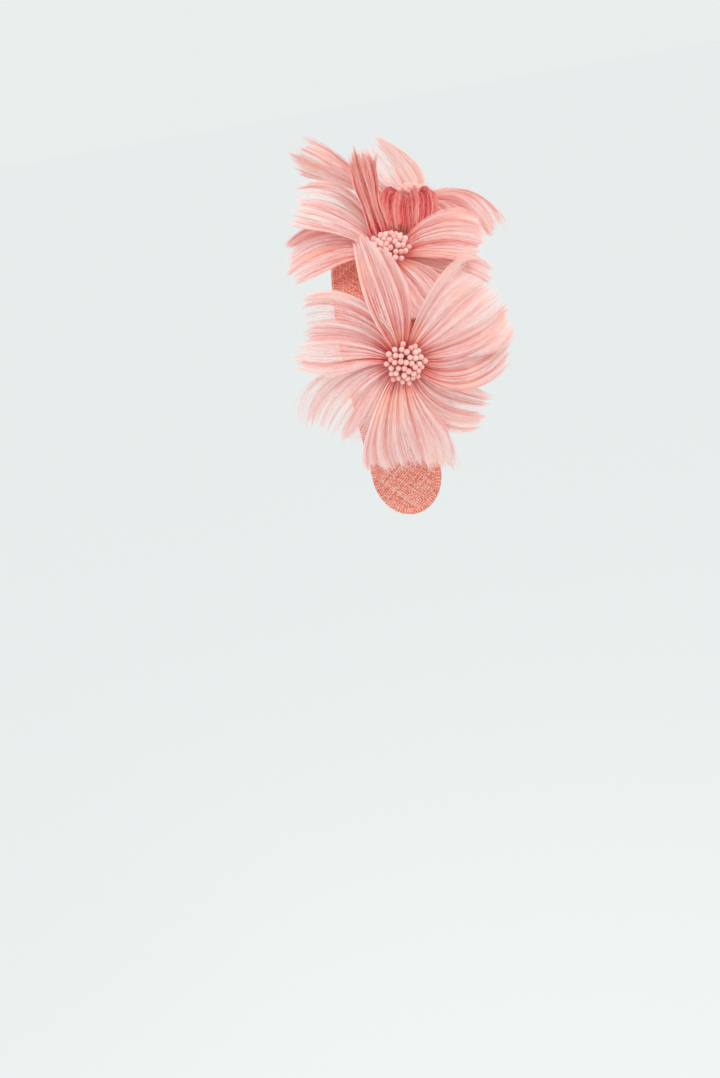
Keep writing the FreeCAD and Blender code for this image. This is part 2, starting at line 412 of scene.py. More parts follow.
def ribbonMaterial():
    material, w, shader = newMaterial("liningRibbon", 0.6, Sheen_Weight=0.3, Specular_IOR_Level=0.3)
    place = w.uvPlace()
    weave = w.group(plainWeave, Place=place, Threads=2.2)
    drift = w.group(dyeDrift, Place=place, Patch=0.05, Speck=1.7)
    base = w.ramp(drift["Patches"], [(0.3, (222, 128, 112)), (0.7, (236, 150, 134))])
    # painted shade in the gaps between the threads
    w.join(w.blend(weave["Gaps"], base, (196, 96, 84)), shader["Base Color"])
    w.join(w.bump(weave["Height"], 0.35, 0.0002), shader["Normal"])
    return material


yarnDye = {
    # low and high colour, roughness, scale of the grain, bump distance
    "padFelt": ((196, 84, 74), (222, 112, 98), 0.95, 400.0, 0.0004),
    "bindingThread": ((206, 92, 80), (232, 130, 114), 0.7, 900.0, 0.0001),
    "stemCrepe": ((200, 92, 78), (226, 126, 108), 0.85, 700.0, 0.0002),
    "buckram": ((224, 214, 198), (240, 232, 220), 0.9, 500.0, 0.0003),
    "rimWirePaper": ((226, 222, 212), (242, 240, 234), 0.8, 600.0, 0.0001),
}


def yarnMaterial(name, low, high, roughness, patch, bumpDistance):
    # felt, thread, crepe tape and paste: dyed, matt, with a grain of their own
    material, w, shader = newMaterial(name, roughness, Specular_IOR_Level=0.3, Sheen_Weight=0.15)
    drift = w.group(dyeDrift, Place=w.objectPlace(), Patch=patch, Speck=patch * 9)
    mix = w.maths("ADD", w.maths("MULTIPLY", drift["Patches"], 0.6),
                  w.maths("MULTIPLY", drift["Specks"], 0.4))
    w.join(w.ramp(mix, [(0.36, low), (0.64, high)]), shader["Base Color"])
    w.join(w.remap(drift["Specks"], 0.3, 0.7, roughness - 0.08, roughness + 0.1),
           shader["Roughness"])
    w.join(w.bump(drift["Specks"], 0.4, bumpDistance), shader["Normal"])
    return material


def metalMaterial(name, colour, metallic, roughness):
    material, w, shader = newMaterial(name, roughness, Metallic=metallic)
    grain = w.noise(w.stretched(w.objectPlace(), (400, 3000, 400)), 1.0, 2.0)
    worn = w.remap(grain, 0.35, 0.65, 0.0, 0.35)
    w.join(w.blend(worn, colour, tuple(0.8 * c for c in colour)), shader["Base Color"])
    w.join(w.remap(grain, 0.3, 0.7, roughness - 0.08, roughness + 0.12), shader["Roughness"])
    return material


liningRibbon = ribbonMaterial()
felt, thread, crepeTape, buckram, wirePaper = [yarnMaterial(name, *dye)
                                               for name, dye in yarnDye.items()]
springSteel = metalMaterial("springSteel", (196, 197, 200), 1.0, 0.32)


# dark for the painted shade down the stamens' threads, pale for the painted highlight at the tops of
# their heads
pasteStops = [(0.0, (190, 74, 74)), (0.3, (236, 146, 140)), (0.65, (251, 192, 184)),
              (1.0, (254, 214, 208))]


def pasteMaterial():
    material, w, shader = newMaterial("stamenPaste", 0.48, Specular_IOR_Level=0.4,
                                      Subsurface_Weight=0.15,
                                      Subsurface_Radius=(0.002, 0.001, 0.0008))
    tone = w.attribute("tone")
    drift = w.group(dyeDrift, Place=w.objectPlace(), Patch=350.0, Speck=3000.0)
    mix = w.maths("ADD", tone, w.around(drift["Patches"], 0.3))
    w.join(w.ramp(mix, pasteStops), shader["Base Color"])
    w.join(w.bump(drift["Specks"], 0.2, 0.0001), shader["Normal"])
    return material


stamenPaste = pasteMaterial()
print("materials ready")


# meshes from rows of points

def rowsToFaces(rows, columns, start=0, closed=False):
    # quads of a grid of points; closed joins the last column to the first
    index = np.arange(rows * columns).reshape(rows, columns) + start
    right = np.roll(index, -1, axis=1) if closed else index[:, 1:]
    left = index if closed else index[:, :-1]
    return np.stack([left[:-1], right[:-1], right[1:], left[1:]], axis=-1).reshape(-1, 4)


def buildPiece(name, points, faces, material, uv=None, smooth=True, **attributes):
    mesh = bpy.data.meshes.new(name)
    mesh.from_pydata([tuple(p) for p in points], [], [tuple(int(i) for i in f) for f in faces])
    mesh.update()
    if uv is not None:
        layer = mesh.uv_layers.new(name="UVMap")
        loops = np.zeros(len(mesh.loops), np.int32)
        mesh.loops.foreach_get("vertex_index", loops)
        layer.data.foreach_set("uv", np.asarray(uv, np.float32)[loops].ravel())
    for key, values in attributes.items():
        layer = mesh.attributes.new(key, "FLOAT", "POINT")
        layer.data.foreach_set("value", np.asarray(values, np.float32).ravel())
    mesh.shade_smooth() if smooth else mesh.shade_flat()
    mesh.materials.append(material)
    piece = bpy.data.objects.new(name, mesh)
    bpy.context.scene.collection.objects.link(piece)
    return piece


def smoothStep(value, low, high):
    share = np.clip((value - low) / (high - low), 0, 1)
    return share * share * (3 - 2 * share)


# the band

band = {
    "headRadius": 75.0, "frontCurve": 120.0, "tuck": 6.0, "leg": 78.0,
    "crownHalf": 31.0, "endHalf": 20.5, "endRound": 26.0, "taperTop": 90.6,
    "stack": 3.6, "bindingWidth": 3.2,
    "flexPlace": 30.0, "flexReach": 14.0,
    "widthGuess": 25.0, "widthSteps": 3,
}

tuckTurn = math.radians(band["tuck"])
outerRadius = band["headRadius"] + band["stack"]
archRun = outerRadius * (math.pi / 2 + tuckTurn)
tipHeight = -(band["headRadius"] * math.sin(tuckTurn) + band["leg"] * math.cos(tuckTurn))
roundLine = tipHeight + band["endRound"]
roundRun = archRun + (-outerRadius * math.sin(tuckTurn) - roundLine) / math.cos(tuckTurn)
wholeRun = archRun + (-outerRadius * math.sin(tuckTurn) - tipHeight) / math.cos(tuckTurn)


def bandPoint(run, across, height):
    # run: from the crown down either end (negative is the left); height above the head
    run, across, height = np.broadcast_arrays(*(np.asarray(v, float) for v in (run, across, height)))
    side = np.where(run < 0, -1.0, 1.0)
    length = np.abs(run)
    radius = band["frontCurve"] + height
    reach = band["headRadius"] - band["frontCurve"] + np.sqrt(radius ** 2 - across ** 2)
    turn = math.pi / 2 - np.minimum(length, archRun) / outerRadius
    past = np.maximum(length - archRun, 0)
    x = reach * np.cos(turn) - past * math.sin(tuckTurn)
    z = reach * np.sin(turn) - past * math.cos(tuckTurn)
    return np.stack([x * side, across, z], axis=-1)


def halfWidth(run, inset):
    # half the band's width at a place along it, measured to inset from its edge
    length = np.abs(np.asarray(run, float))
    end = band["endHalf"] - inset
    crown = band["crownHalf"] - inset
    width = np.full(length.shape, band["widthGuess"])
    for step in range(band["widthSteps"]):
        z = bandPoint(length, width, band["stack"])[..., 2]
        taper = end + (crown - end) * (z - roundLine) / (band["taperTop"] - roundLine)
        drop = np.clip((roundLine - z) / (band["endRound"] - inset), 0, 1)
        width = np.where(z >= roundLine, taper, end * np.sqrt(1 - drop ** 2))
    return width


def strands(paths, widths, thickness, tones):
    # flat strands along rows of centre points, each with its own sideways and upward directions
    points, faces, shades = [], [], []
    count = 0
    for (centre, sideways, upward), width, tone in zip(paths, widths, tones):
        ring = np.stack([centre - sideways * width / 2, centre + upward * thickness / 2,
                         centre + sideways * width / 2, centre - upward * thickness / 2], axis=1)
        rows = len(centre)
        points.append(ring.reshape(-1, 3))
        faces.append(rowsToFaces(rows, 4, count, closed=True))
        corners = np.arange(4)
        faces.append(np.stack([count + corners, count + 4 * rows - 1 - corners]))
        shades.append(np.repeat(np.broadcast_to(np.asarray(tone, float), rows), 4))
        count += 4 * rows
    return np.concatenate(points), np.concatenate(faces), np.concatenate(shades)


def directions(centre, normal):
    # sideways and upward along a row of centre points
    along = np.gradient(centre, axis=0)
    along /= np.linalg.norm(along, axis=1, keepdims=True) + tiny
    sideways = np.cross(normal, along)
    sideways /= np.linalg.norm(sideways, axis=1, keepdims=True) + tiny
    return sideways, np.cross(along, sideways)


def bandNormal(run, across):
    return bandPoint(run, across, 1.0) - bandPoint(run, across, 0.0)


weave = {
    "pitch": 1.35, "width": 0.98, "thickness": 0.2, "rise": 0.26, "height": 3.12,
    "tucked": 0.7, "past": 60, "shortest": 4, "wander": 0.10, "uneven": 0.05,
    "widths": (0.78, 1.08), "tones": (0.25, 0.75), "speckle": 0.2,
}


def speckled(rng, base, speckle, places):
    # a shade for each place along a strand
    own = np.array([rng.uniform(-speckle, speckle) for place in places])
    return np.clip(base + own, 0, 1)


def coverWeave(side, rng):
    # bias weave over one half of the band, its ends tucked under the edge binding
    pitch = weave["pitch"] * math.sqrt(2)
    inset = band["bindingWidth"] - weave["tucked"]
    paths, widths, tones = [], [], []
    lines = range(int(-weave["past"] / pitch), int((wholeRun + weave["past"]) / pitch))
    for family in (1, -1):
        for line in lines:
            across = np.arange(-band["crownHalf"], band["crownHalf"], pitch / 4)
            run = (line + 0.5) * pitch + family * across
            keep = (run >= 0) & (run <= wholeRun - inset)
            keep &= np.abs(across) <= halfWidth(run, inset)
            if keep.sum() < weave["shortest"]:
                continue
            run, across = run[keep], across[keep]
            other = (run + family * across) / pitch - 0.5
            rise = weave["rise"] * np.cos(math.pi * other) * (1 if line % 2 else -1) * family
            wander = weave["wander"] * np.sin(other * 0.7 + line * 1.9)
            height = weave["height"] + rise + rng.uniform(-weave["uneven"], weave["uneven"])
            centre = bandPoint((run + wander) * side, across, height)
            paths.append((centre, *directions(centre, bandNormal(run * side, across))))
            widths.append(weave["width"] * rng.uniform(*weave["widths"]))
            tones.append(speckled(rng, rng.uniform(*weave["tones"]), weave["speckle"], run))
    return strands(paths, widths, weave["thickness"], tones)


def rimStations(step):
    # places round one half's rim, from the crown's front edge to its back edge
    straight = np.arange(0, roundRun, step)
    sides = [("front", run) for run in straight]
    turns = np.linspace(0, math.pi, int(2.4 * band["endRound"] / step))
    ends = [("end", turn) for turn in turns]
    return sides + ends + [("back", run) for run in straight[::-1]]


def rimPoints(stations, side, inset, height):
    # points on the band's edge, inset from the rim and at a height above the head
    kinds = np.array([kind for kind, value in stations])
    values = np.array([value for kind, value in stations])
    inset, height = (np.broadcast_to(v, values.shape) for v in (inset, height))
    out = np.zeros((len(values), 3))
    for kind, facing in (("front", 1.0), ("back", -1.0)):
        chosen = kinds == kind
        across = facing * halfWidth(values[chosen], 0.0) - facing * inset[chosen]
        out[chosen] = bandPoint(values[chosen], across, height[chosen])
    chosen = kinds == "end"
    across = (band["endHalf"] - inset[chosen]) * np.cos(values[chosen])
    z = roundLine - (band["endRound"] - inset[chosen]) * np.sin(values[chosen])
    radius = band["frontCurve"] + height[chosen]
    reach = band["headRadius"] - band["frontCurve"] + np.sqrt(radius ** 2 - across ** 2)
    past = (-reach * math.sin(tuckTurn) - z) / math.cos(tuckTurn)
    x = reach * math.cos(tuckTurn) - past * math.sin(tuckTurn)
    out[chosen] = np.stack([x, across, z], axis=-1)
    out[:, 0] *= side
    return out


rim = {
    # inset and height of points round the binding's section, from the outer face to the lining
    "section": [(3.3, 3.45), (2.2, 3.72), (1.0, 3.66), (0.25, 3.2), (-0.1, 2.3), (-0.1, 1.3),
                (0.25, 0.4), (1.0, -0.02), (2.2, -0.12), (3.3, 0.1)],
    "core": (1.6, 1.8),       # inset and height of the section's middle
    "step": 0.8, "pitch": 1.05, "thickness": 0.2, "lift": 0.12, "wave": 0.10, "waveSteps": 2.2,
    "rowWidth": 0.92, "rowWidths": (0.85, 1.1), "rowTones": (0.3, 0.75), "speckle": 0.22,
    "wrapStep": 2, "wrapSlant": 0.12, "wrapWave": 0.13, "wrapWidth": 0.8,
    "wrapWidths": (0.8, 1.1), "wrapTones": (0.2, 0.95),
    "foldStep": 1.6, "foldShare": 0.97,
}

sectionCorners = np.array(rim["section"])
sectionSides = np.linalg.norm(np.diff(sectionCorners, axis=0), axis=1)
sectionSteps = np.concatenate([[0], np.cumsum(sectionSides)])


def sectionAt(share):
    # inset and height at a share of the way round the section
    place = np.asarray(share) * sectionSteps[-1]
    return [np.interp(place, sectionSteps, sectionCorners[:, column]) for column in (0, 1)]


def edgeBindingStraw(side, rng):
    # rows of straw laid along the rim, held by strands wrapped over the edge
    stations = rimStations(rim["step"])
    rows = int(sectionSteps[-1] / rim["pitch"])
    paths, widths, tones = [], [], []

    def surface(share, lift):
        inset, height = sectionAt(share)
        base = rimPoints(stations, side, inset, height)
        deeper = rimPoints(stations, side, inset + (rim["core"][0] - inset) * 0.1,
                           height + (rim["core"][1] - height) * 0.1)
        outward = base - deeper
        outward /= np.linalg.norm(outward, axis=1, keepdims=True) + tiny
        return base + outward * np.asarray(lift)[..., None], outward

    index = np.arange(len(stations))
    for row in range(rows + 1):
        wave = rim["wave"] * np.cos(index * math.pi / rim["waveSteps"] + row * math.pi)
        share = np.clip(row / rows + 0.006 * np.sin(index * 0.21 + row), 0, 1)
        centre, outward = surface(share, rim["lift"] + wave)
        paths.append((centre, *directions(centre, outward)))
        widths.append(rim["rowWidth"] * rng.uniform(*rim["rowWidths"]))
        tones.append(speckled(rng, rng.uniform(*rim["rowTones"]), rim["speckle"], index))
    turns = np.arange(rows * 2 + 1)
    skins = [surface(turn / (rows * 2), np.full(len(stations), rim["lift"])) for turn in turns]
    bases = np.array([base for base, outward in skins])
    outwards = np.array([outward for base, outward in skins])
    for start in range(1, len(stations) - 4, rim["wrapStep"]):
        slant = np.minimum(start + (turns * rim["wrapSlant"]).astype(int), len(stations) - 1)
        lifts = rim["wrapWave"] * np.cos(turns * math.pi / 2 + (start // 2) * math.pi)
        outward = outwards[turns, slant]
        centre = bases[turns, slant] + outward * lifts[:, None]
        paths.append((centre, *directions(centre, outward)))
        widths.append(rim["wrapWidth"] * rng.uniform(*rim["wrapWidths"]))
        tones.append(rng.uniform(*rim["wrapTones"]))
    return strands(paths, widths, rim["thickness"], tones)


def shell(run, columns, inset, low, high, side, ribs=None):
    # closed sheet that follows the band between two heights
    rows = len(run)
    spread = np.linspace(-1, 1, columns)
    width = halfWidth(run, inset)[:, None] * spread[None, :]
    along = np.repeat(run[:, None], columns, axis=1)
    faces, points = [], []
    inner = np.full_like(along, low) if ribs is None else low + ribs[:, None] + 0 * along
    for height, flip in ((high, False), (inner, True)):
        grid = bandPoint(along * side, width, height)
        quads = rowsToFaces(rows, columns, len(points) * rows * columns)
        points.append(grid.reshape(-1, 3))
        faces.append(quads[:, ::-1] if flip else quads)
    uv = np.stack([width.ravel(), along.ravel()], axis=-1)
    total = rows * columns
    index = np.arange(total).reshape(rows, columns)
    border = np.concatenate([index[0, :], index[1:, -1], index[-1, -2::-1], index[-2:0:-1, 0]])
    after = np.roll(border, -1)
    edge = np.stack([border, after, after + total, border + total], axis=-1)
    faces.append(edge[:, ::-1])
    return np.concatenate(points), np.concatenate(faces), np.concatenate([uv, uv])


def startEdit(piece):
    bpy.ops.object.select_all(action="DESELECT")
    bpy.context.view_layer.objects.active = piece
    piece.select_set(True)
    bpy.ops.object.mode_set(mode="EDIT")


def endEdit(piece):
    # all faces turned outwards
    bpy.ops.mesh.select_all(action="SELECT")
    bpy.ops.mesh.normals_make_consistent(inside=False)
    bpy.ops.object.mode_set(mode="OBJECT")
    piece.select_set(False)


def acrossFlex(piece):
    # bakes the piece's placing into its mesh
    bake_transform(piece)


layers = {
    # how far inside the rim's cover, inner and outer height, columns, step along, gap at the tip
    "backing": {"under": 0.6, "inner": 2.6, "outer": 2.95, "columns": 25, "step": 2.0,
                "gap": 3.2, "lastGap": 3.25, "tone": 0.5},
    "lining": {"under": 0.4, "inner": 0.08, "outer": 0.6, "columns": 21, "step": 0.36,
               "gap": 3.0, "ribDepth": 0.09, "ribSteps": 1.5},
    "foldTone": 0.6, "cutShare": 1.25, "merge": 0.000002,
}


def makeBandHalf(side, word, seed):
    rng = random.Random(seed)
    points, faces, tones = coverWeave(side, rng)
    cover = buildPiece(word + "StrawWeave", points * mm, faces, strawStrand, tone=tones,
                       smooth=False)
    spec = layers["backing"]
    run = np.arange(0, wholeRun - spec["gap"], spec["step"])
    run = np.concatenate([run, [wholeRun - spec["lastGap"]]])
    points, faces, uv = shell(run, spec["columns"], band["bindingWidth"] - spec["under"],
                              spec["inner"], spec["outer"], side)
    backing = buildPiece(word + "StrawBacking", points * mm, faces, strawBacking, uv=uv,
                         tone=np.full(len(points), spec["tone"]))
    points, faces, tones = edgeBindingStraw(side, rng)
    binding = buildPiece(word + "EdgeStraw", points * mm, faces, strawStrand, tone=tones,
                         smooth=False)
    # folded cloth core of the binding
    stations = rimStations(rim["foldStep"])
    middle = rim["core"][1]
    grid = np.stack([rimPoints(stations, side, inset, middle + (height - middle) * rim["foldShare"])
                     for inset, height in rim["section"]], axis=1)
    rows, columns = grid.shape[:2]
    caps = [list(range(columns))[::-1], list(range((rows - 1) * columns, rows * columns))]
    faces = [tuple(f) for f in rowsToFaces(rows, columns, closed=True)] + caps
    fold = buildPiece(word + "EdgeFold", grid.reshape(-1, 3) * mm, faces, strawBacking,
                      tone=np.full(rows * columns, layers["foldTone"]))
    # ribbed ribbon lining, its ribs from front to back
    spec = layers["lining"]
    run = np.arange(0, wholeRun - spec["gap"], spec["step"])
    ribs = spec["ribDepth"] * np.cos(np.arange(len(run)) * math.pi / spec["ribSteps"])
    points, faces, uv = shell(run, spec["columns"], band["bindingWidth"] - spec["under"],
                              spec["inner"], spec["outer"], side, ribs)
    lining = buildPiece(word + "Lining", points * mm, faces, liningRibbon, uv=uv)
    pieces = (cover, backing, binding, fold, lining)
    for piece in pieces:
        startEdit(piece)
        bpy.ops.mesh.select_all(action="SELECT")
        bpy.ops.mesh.remove_doubles(threshold=layers["merge"])
        endEdit(piece)
    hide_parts(word + "_straw_cover")
    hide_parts("crown_straw_cover")
    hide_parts(word + "_edge_binding")
    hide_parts("crown_edge_binding")
    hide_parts(word + "_lining", "crown_lining")
    for piece in pieces:
        acrossFlex(piece)
    print(word, "half of the band made")


makeBandHalf(1, "right", 11)
makeBandHalf(-1, "left", 12)


# the flowers

# Each petal, first row: turn round the flower's axis from the arch's upward way, reach, height
# of the elbow and of the tip, the elbow's share of the reach, its swing, twist at the tip, width
# and the row it springs from. Second row: tone (0 pale, 1 deep), sheer (how much its outer part
# shows through), folds, locks that the outer end parts into, slant of its cut, curl of its
# edges, sideways sweep of the elbow and of the tip, width left at the tip, flare of its fibres.
flowers = {
    "low": {
        "place": 8.6, "forward": 8.5, "aim": 2.0, "lean": 16.0, "body": "low_flower",
        "petals": {
            "up": (-13, 70, 20, 7, 0.5, 6, 0, 29, 1,
                0.36, 0.25, 1.0, 1.6, 0.06, 0.5, -1, 4, 0.34, 0),
            "front_up": (60, 61, 16, 9, 0.5, -4, 0, 48, -1,
                0.24, 0.35, 0.8, 1.2, -0.04, 1.0, 2, 0, 0.92, 0),
            "front": (95, 58, 19, 9, 0.5, 7, 10, 24, 1,
                0.38, 0.40, 1.2, 1.0, 0.03, 1.5, 9, -7, 0.62, 0),
            "front_down": (134, 56, 8, 1, 0.5, 4, 0, 30, -1,
                0.26, 0.50, 1.0, 1.6, 0.04, 1.0, 9, -4, 0.62, 0),
            "down": (-169, 61, 14, -2, 0.5, -3, 0, 42, 1,
                0.28, 0.35, 1.0, 1.4, 0.13, 0.4, 9, -9, 1.1, 0.15),
            "back_down": (-115, 56, 9, -8, 0.5, -5, 0, 44, -1,
                0.16, 0.72, 0.9, 1.7, -0.05, 0.8, 14, -12, 0.95, 0),
            "back": (-66, 58, 14, -6, 0.5, 9, 0, 44, 1,
                0.30, 0.60, 1.1, 1.9, 0.06, 0.6, 6, 0, 0.85, 0),
        },
    },
    "mid": {
        "place": 50.0, "forward": 6.5, "aim": 50.0, "lean": 11.6, "body": "mid_flower",
        "petals": {
            "back": (-96, 56, 9, -5, 0.5, 5, 0, 34, -1,
                0.38, 0.40, 1.1, 1.8, 0.06, 0.8, 9, 0, 0.9, 0),
            "back_up": (-60, 61, 13, 8, 0.5, 3, 0, 34, 1,
                0.24, 0.50, 0.9, 1.5, -0.03, 0.8, 6, 0, 0.95, 0),
            "up": (-19, 46, 13, 36, 0.6, -3, 0, 34, 1,
                0.62, 0.10, 1.3, 0.6, 0.0, 1.2, 0, -3, 0.16, 1.4),
            "front_up": (84, 52, 11, 2, 0.5, 0, 0, 36, 1,
                0.36, 0.20, 1.2, 1.3, 0.03, 1.4, -3, 0, 0.85, 0),
            "front": (103, 57, 5, -6, 0.5, 0, 0, 22, -1,
                0.28, 0.30, 0.9, 1.1, 0.05, 0.8, -4, 0, 0.8, 0),
            "front_down": (148, 44, 3, -5.5, 0.5, 0, 0, 29, 1,
                0.30, 0.20, 1.0, 1.4, 0.0, 0.5, 0, 0, 0.8, 0),
        },
    },
    "top": {
        "place": 90.0, "forward": 16.5, "aim": 87.0, "lean": 8.6, "body": "top_flower",
        "petals": {
            "back": (-101, 68, 14, 30, 0.5, 2, 58, 24, 1,
                0.36, 0.45, 1.1, 1.9, 0.06, 1.2, 2, 0, 1.15, 0),
            "back_right": (-118, 56, 9, 25, 0.5, 1, 20, 25, -1,
                0.14, 0.75, 0.9, 1.6, 0.05, 1.5, 2, 0, 0.9, 0),
            "left_back": (-50, 36, 9, 32, 0.35, 0, 0, 56, -1,
                0.06, 0.80, 1.1, 1.0, -0.05, 2.2, 6, 0, 0.36, 0),
            # this petal hangs in shade below the top flower; its deep tone is painted shade
            "right": (179, 37, 23, -6, 0.5, 0, 0, 32, 1,
                0.90, 0.10, 1.5, 1.2, 0.0, -0.6, 0, -2, 0.85, 0.2),
            "front": (106, 43, 12, -18, 0.5, 3, 30, 38, -1,
                0.40, 0.35, 1.1, 1.6, 0.05, 1.2, -5, 0, 0.95, 0.2),
            "left": (24, 54, 12, -10, 0.5, 0, 0, 40, 1,
                0.30, 0.40, 1.0, 1.5, 0.04, 0.8, 0, 0, 0.8, 0),
        },
    },
}

bloom = {
    "padRadius": 11.0, "padThickness": 1.2, "clearance": 0.4, "stemRadius": 2.0,
    "stemLength": 2.6, "calyxHeight": 2.4, "bindingRadius": 3.9, "bindingDrop": 1.4,
    "rootRadius": 4.4, "rootStep": 0.7, "rootWidth": 3.8, "cup": 0.10,
    "opening": ((0.0, 0.0), (0.22, 0.42), (0.48, 0.82), (0.78, 1.0), (1.0, 0.8)),
    "stamens": 40, "stamenSpread": 54.0, "stamenStart": 4.0, "stamenLength": 16.2,
    "headLength": 5.4, "headWidth": 3.6, "threadRadius": 0.25,
    # the head's outline: share of its length, share of its width
    "head": ((0.07, 0.42), (0.20, 0.74), (0.38, 0.95), (0.58, 1.0), (0.76, 0.90), (0.90, 0.64),
             (0.97, 0.34)),
    "stamenTones": (0.55, 0.95), "stamenFat": (0.86, 1.0), "stamenTall": (0.93, 1.0),
    "windingTurns": 8, "windingBulge": (-0.08, 0.10),
}

petalForm = {
    "rows": 60, "columns": 120,
    # how many folds over the petal, how deep
    "folds": ((0.9, 0.9), (1.7, 0.75), (3.1, 0.55), (5.3, 0.34), (8.7, 0.20), (14.0, 0.10)),
    # paintedFoldShade: how much darker the hollows of the folds are painted, a painted shade
    "foldWidth": 34, "foldSpread": 1.6, "paintedFoldShade": 0.055,
    "lockPull": (0.55, 0.5), "fineLocks": 2.7, "lockStart": (0.45, 1.05), "thinLocks": 1.3,
    # how often the cut end goes in and out, how far
    "ragged": ((1.3, 0.025), (3.7, 0.018), (9.1, 0.014), (23.0, 0.01)),
    "cutBow": 0.05, "rootDeep": 0.46, "tipPale": 0.18, "flutter": 1.12,
    "cutWidth": 1.3, "cutLength": 1.06, "cutFill": 0.98,
}

fibre = {
    "perMm": 13, "steps": 13, "strays": 22, "width": (0.13, 0.34), "strayWidth": 0.16,
    "tangled": {"topRightFibres": 300, "midUpFibres": 60},
    "fromRoot": 0.6, "rootStart": (0.0, 0.35), "lateStart": (0.3, 0.75),
    "onEdge": 0.12, "edge": (0.94, 1.03), "past": (-0.05, 0.035), "thinStop": (0.35, 0.8),
    "wander": 0.05, "lift": (0.05, 0.45), "below": 0.35, "fly": (-1.0, 1.4), "reach": 1.06,
    "strayStart": (0.3, 0.6), "strayPast": (0.0, 0.06), "strayWander": 0.35, "strayLift": 0.5,
    "strayFly": (1.0, 5.0), "brokenStart": (0.08, 0.8), "brokenLength": (0.12, 0.32),
    "brokenWander": 1.0, "brokenFly": (0.8, 4.0), "tone": (-0.22, 0.17), "strayHighlight": (0.0, 0.45),
}

openingFit = np.polyfit(*np.array(bloom["opening"]).T, 4)


def direction(place, lean):
    turn, forward = math.radians(place), math.radians(lean)
    return np.array([math.cos(turn) * math.cos(forward), math.sin(forward),
                     math.sin(turn) * math.cos(forward)])


def flowerFrame(spec):
    # origin of a flower, and its up, back and axis directions, in millimetres
    radius = band["frontCurve"] + band["stack"]
    lean = math.degrees(math.asin(spec["forward"] / radius))
    normal = direction(spec["place"], lean)
    turn = math.radians(spec["place"])
    centre = np.array([math.cos(turn), 0, math.sin(turn)]) * (band["headRadius"] - band["frontCurve"])
    above = bloom["padThickness"] + bloom["clearance"] + bloom["stemRadius"]
    foot = centre + normal * radius + normal * above
    axis = direction(spec["aim"], spec["lean"])
    front = np.array([0, 1.0, 0]) - axis * axis[1]
    front /= np.linalg.norm(front)
    up = np.cross(axis, front)
    base = foot + axis * (bloom["stemLength"] + bloom["calyxHeight"])
    return base, np.stack([up, -front, axis])


def placed(points, spec):
    base, axes = flowerFrame(spec)
    return points @ axes + base


def flowerMatrix(spec):
    base, axes = flowerFrame(spec)
    turn = Matrix((axes[0], axes[1], axes[2])).transposed().to_4x4()
    return Matrix.Translation(Vector(base * mm)) @ turn


